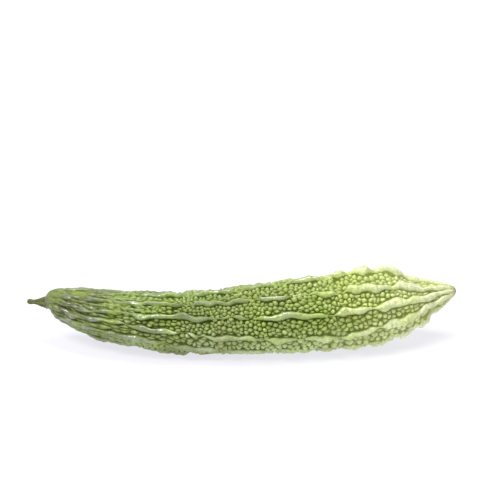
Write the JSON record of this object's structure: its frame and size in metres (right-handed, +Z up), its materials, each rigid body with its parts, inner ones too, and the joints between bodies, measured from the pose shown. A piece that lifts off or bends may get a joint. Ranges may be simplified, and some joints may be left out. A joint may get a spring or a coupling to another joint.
{
  "type": "bitter gourd",
  "caption": "Whole picked bitter gourd lying on its side: warty fruit with long wavy ridges, from a short cut stalk to a pale blossom end.",
  "frame": {"origin": "on the surface the gourd lies on, under the middle of its box", "axes": "+X from the stalk to the blossom end, +Z up, +Y towards the side that the ends bend to"},
  "size_m": [0.2566, 0.0573, 0.0484],
  "materials": {
    "fruit_skin": "satin",
    "stalk_skin": "matte"
  },
  "bodies": {
    "root": {"fruit": "fruit_skin", "stalk": "stalk_skin"}
  },
  "joints": []
}
